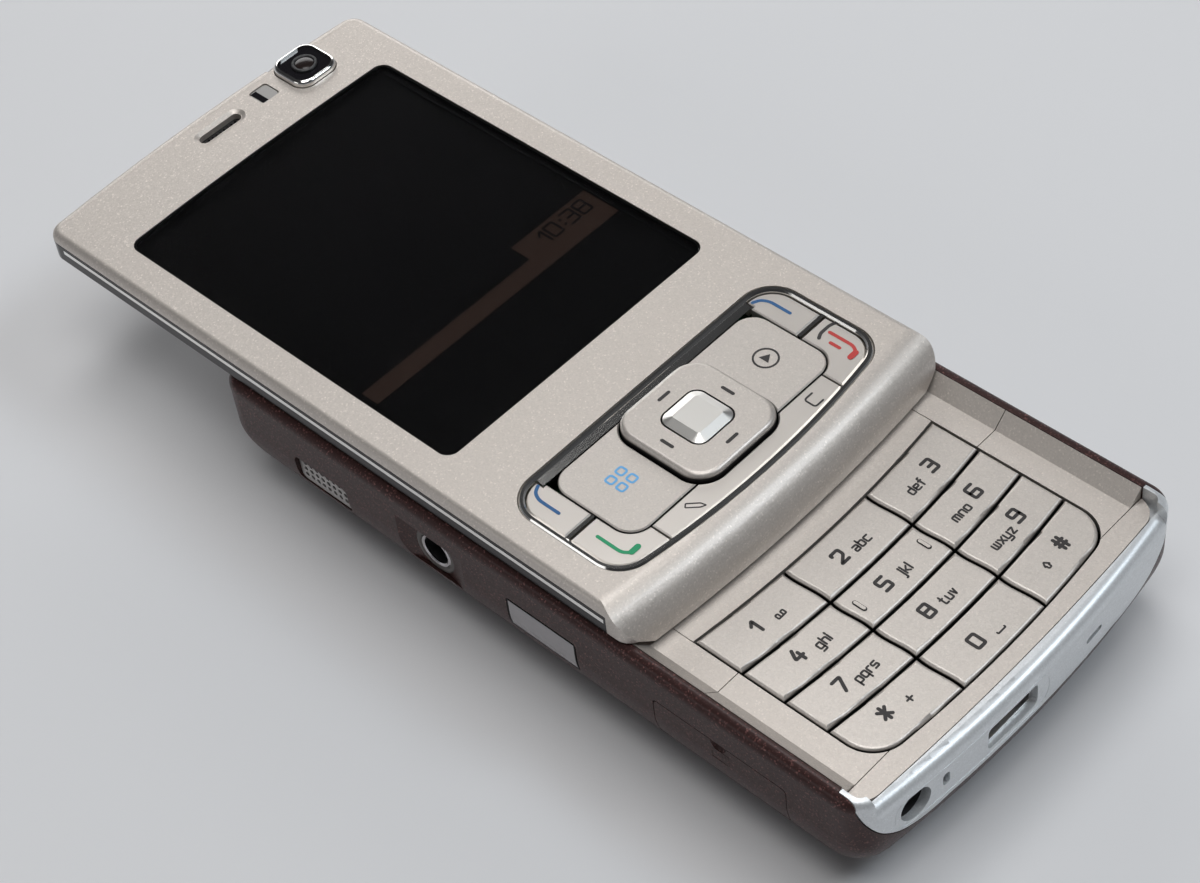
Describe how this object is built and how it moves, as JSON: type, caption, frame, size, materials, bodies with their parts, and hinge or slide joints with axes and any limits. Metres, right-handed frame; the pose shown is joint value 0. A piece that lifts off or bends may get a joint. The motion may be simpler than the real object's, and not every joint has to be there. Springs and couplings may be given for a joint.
{
  "type": "two-way slider phone",
  "caption": "Two-way slider phone lying open: silver slide with display and control keys over a plum base with a curved number keypad.",
  "frame": {"origin": "middle of the base's flat back, where the phone rests on a table", "axes": "+X the phone's right side, +Y its top end, +Z out of its face"},
  "size_m": [0.0533, 0.1294, 0.0222],
  "materials": {
    "silver_paint": "champagne-silver metallic paint with fine sparkle",
    "silver_key": "champagne-silver metallic paint",
    "plum_paint": "deep plum metallic paint, glossy",
    "white_silver": "pale silver metallic paint",
    "dark_chrome": "dark polished chrome",
    "chrome": "polished chrome",
    "steel": "satin sheet steel",
    "clear_window": "clear hard window, polished",
    "dark_glass": "black polished window",
    "display": "dark display",
    "circuit_board": "green solder mask",
    "flex_film": "amber film",
    "black_plastic": "black plastic",
    "battery_case": "grey battery case"
  },
  "bodies": {
    "base": {"base_shell": "plum_paint", "deck_plate": "silver_paint", "keypad_trim": "silver_paint", "bottom_end_cap": "white_silver", "slide_guide_plate": "steel", "flex_lower": "flex_film", "main_circuit_board": "circuit_board", "battery": "battery_case", "battery_cover": "plum_paint", "rear_camera_module": "black_plastic", "rear_camera_bezel": "chrome", "audio_jack_socket": "black_plastic", "charger_socket": "black_plastic", "usb_socket": "steel", "speaker_grilles": "steel", "infrared_window": "dark_glass"},
    "slide": {"slide_front_cover": "silver_paint", "slide_chassis": "dark_chrome", "display_window": "clear_window", "display_panel": "display", "earpiece_mesh": "steel", "front_camera_bezel": "chrome", "front_camera_window": "dark_glass", "light_sensor_window": "dark_glass", "slide_circuit_board": "circuit_board", "control_bezel": "chrome", "slide_carriage": "steel", "flex_upper": "flex_film"},
    "key_1": {"key_1": "silver_key"},
    "key_2": {"key_2": "silver_key"},
    "key_3": {"key_3": "silver_key"},
    "key_4": {"key_4": "silver_key"},
    "key_5": {"key_5": "silver_key"},
    "key_6": {"key_6": "silver_key"},
    "key_7": {"key_7": "silver_key"},
    "key_8": {"key_8": "silver_key"},
    "key_9": {"key_9": "silver_key"},
    "key_star": {"key_star": "silver_key"},
    "key_0": {"key_0": "silver_key"},
    "key_hash": {"key_hash": "silver_key"},
    "rewind_key": {"rewind_key": "black_plastic"},
    "play_key": {"play_key": "black_plastic"},
    "stop_key": {"stop_key": "black_plastic"},
    "forward_key": {"forward_key": "black_plastic"},
    "left_soft_key": {"left_soft_key": "silver_key"},
    "right_soft_key": {"right_soft_key": "silver_key"},
    "call_key": {"call_key": "silver_key"},
    "end_key": {"end_key": "silver_key"},
    "menu_key": {"menu_key": "silver_key"},
    "media_key": {"media_key": "silver_key"},
    "select_key": {"select_key": "silver_key"},
    "edit_clear_bar": {"edit_clear_bar": "silver_key"},
    "nav_gimbal": {"nav_gimbal": "black_plastic"},
    "navigation_ring": {"navigation_ring": "silver_key"},
    "volume_rocker": {"volume_key": "dark_chrome"},
    "gallery_key": {"gallery_key": "dark_chrome"},
    "shutter_key": {"shutter_key": "dark_chrome"},
    "power_key": {"power_key": "black_plastic"},
    "lens_shutter": {"lens_shutter": "black_plastic"},
    "memory_card_door": {"memory_card_door": "plum_paint"}
  },
  "joints": [
    {"name": "slide_travel", "type": "slide", "parent": "base", "child": "slide", "axis": [0, 1, 0], "range_m": [-0.0491, 0]},
    {"name": "key_1_press", "type": "slide", "parent": "base", "child": "key_1", "axis": [0, 0, -1], "range_m": [0, 0.00035], "stiffness_N_per_m": 400},
    {"name": "key_2_press", "type": "slide", "parent": "base", "child": "key_2", "axis": [0, 0, -1], "range_m": [0, 0.00035], "stiffness_N_per_m": 400},
    {"name": "key_3_press", "type": "slide", "parent": "base", "child": "key_3", "axis": [0, 0, -1], "range_m": [0, 0.00035], "stiffness_N_per_m": 400},
    {"name": "key_4_press", "type": "slide", "parent": "base", "child": "key_4", "axis": [0, 0, -1], "range_m": [0, 0.00035], "stiffness_N_per_m": 400},
    {"name": "key_5_press", "type": "slide", "parent": "base", "child": "key_5", "axis": [0, 0, -1], "range_m": [0, 0.00035], "stiffness_N_per_m": 400},
    {"name": "key_6_press", "type": "slide", "parent": "base", "child": "key_6", "axis": [0, 0, -1], "range_m": [0, 0.00035], "stiffness_N_per_m": 400},
    {"name": "key_7_press", "type": "slide", "parent": "base", "child": "key_7", "axis": [0, 0, -1], "range_m": [0, 0.00035], "stiffness_N_per_m": 400},
    {"name": "key_8_press", "type": "slide", "parent": "base", "child": "key_8", "axis": [0, 0, -1], "range_m": [0, 0.00035], "stiffness_N_per_m": 400},
    {"name": "key_9_press", "type": "slide", "parent": "base", "child": "key_9", "axis": [0, 0, -1], "range_m": [0, 0.00035], "stiffness_N_per_m": 400},
    {"name": "key_star_press", "type": "slide", "parent": "base", "child": "key_star", "axis": [0, 0, -1], "range_m": [0, 0.00035], "stiffness_N_per_m": 400},
    {"name": "key_0_press", "type": "slide", "parent": "base", "child": "key_0", "axis": [0, 0, -1], "range_m": [0, 0.00035], "stiffness_N_per_m": 400},
    {"name": "key_hash_press", "type": "slide", "parent": "base", "child": "key_hash", "axis": [0, 0, -1], "range_m": [0, 0.00035], "stiffness_N_per_m": 400},
    {"name": "rewind_key_press", "type": "slide", "parent": "base", "child": "rewind_key", "axis": [0, 0, -1], "range_m": [0, 0.00035], "stiffness_N_per_m": 400},
    {"name": "play_key_press", "type": "slide", "parent": "base", "child": "play_key", "axis": [0, 0, -1], "range_m": [0, 0.00035], "stiffness_N_per_m": 400},
    {"name": "stop_key_press", "type": "slide", "parent": "base", "child": "stop_key", "axis": [0, 0, -1], "range_m": [0, 0.00035], "stiffness_N_per_m": 400},
    {"name": "forward_key_press", "type": "slide", "parent": "base", "child": "forward_key", "axis": [0, 0, -1], "range_m": [0, 0.00035], "stiffness_N_per_m": 400},
    {"name": "left_soft_key_press", "type": "slide", "parent": "slide", "child": "left_soft_key", "axis": [0, 0, -1], "range_m": [0, 0.00025], "stiffness_N_per_m": 400},
    {"name": "right_soft_key_press", "type": "slide", "parent": "slide", "child": "right_soft_key", "axis": [0, 0, -1], "range_m": [0, 0.00025], "stiffness_N_per_m": 400},
    {"name": "call_key_press", "type": "slide", "parent": "slide", "child": "call_key", "axis": [0, 0, -1], "range_m": [0, 0.00025], "stiffness_N_per_m": 400},
    {"name": "end_key_press", "type": "slide", "parent": "slide", "child": "end_key", "axis": [0, 0, -1], "range_m": [0, 0.00025], "stiffness_N_per_m": 400},
    {"name": "menu_key_press", "type": "slide", "parent": "slide", "child": "menu_key", "axis": [0, 0, -1], "range_m": [0, 0.00025], "stiffness_N_per_m": 400},
    {"name": "media_key_press", "type": "slide", "parent": "slide", "child": "media_key", "axis": [0, 0, -1], "range_m": [0, 0.00025], "stiffness_N_per_m": 400},
    {"name": "select_key_press", "type": "slide", "parent": "slide", "child": "select_key", "axis": [0, 0, -1], "range_m": [0, 0.00025], "stiffness_N_per_m": 400},
    {"name": "edit_clear_rock", "type": "hinge", "parent": "slide", "child": "edit_clear_bar", "pos_m": [0, -0.011, 0.0195], "axis": [0, 1, 0], "range_deg": [-1.3, 1.3], "stiffness_Nm_per_rad": 0.05},
    {"name": "ring_tilt_up_down", "type": "hinge", "parent": "slide", "child": "nav_gimbal", "pos_m": [0, -0.0034, 0.01885], "axis": [1, 0, 0], "range_deg": [-2.2, 2.2], "stiffness_Nm_per_rad": 0.05},
    {"name": "ring_tilt_left_right", "type": "hinge", "parent": "nav_gimbal", "child": "navigation_ring", "pos_m": [0, -0.0034, 0.01885], "axis": [0, 1, 0], "range_deg": [-2.2, 2.2], "stiffness_Nm_per_rad": 0.05},
    {"name": "volume_rock", "type": "hinge", "parent": "base", "child": "volume_rocker", "pos_m": [0.0255, 0.013, 0.0112], "axis": [0, 0, 1], "range_deg": [-1.5, 1.5], "stiffness_Nm_per_rad": 0.05},
    {"name": "gallery_key_press", "type": "slide", "parent": "base", "child": "gallery_key", "axis": [-1, 0, 0], "range_m": [0, 0.0004], "stiffness_N_per_m": 400},
    {"name": "shutter_key_press", "type": "slide", "parent": "base", "child": "shutter_key", "axis": [-1, 0, 0], "range_m": [0, 0.0004], "stiffness_N_per_m": 400},
    {"name": "power_key_press", "type": "slide", "parent": "base", "child": "power_key", "axis": [0, -1, 0], "range_m": [0, 0.0004], "stiffness_N_per_m": 400},
    {"name": "lens_shutter_slide", "type": "slide", "parent": "base", "child": "lens_shutter", "axis": [-1, 0, 0], "range_m": [0, 0.0075]},
    {"name": "card_door_hinge", "type": "hinge", "parent": "base", "child": "memory_card_door", "pos_m": [-0.0258, -0.0289, 0.00655], "axis": [0, -1, 0], "range_deg": [0, 85]}
  ]
}
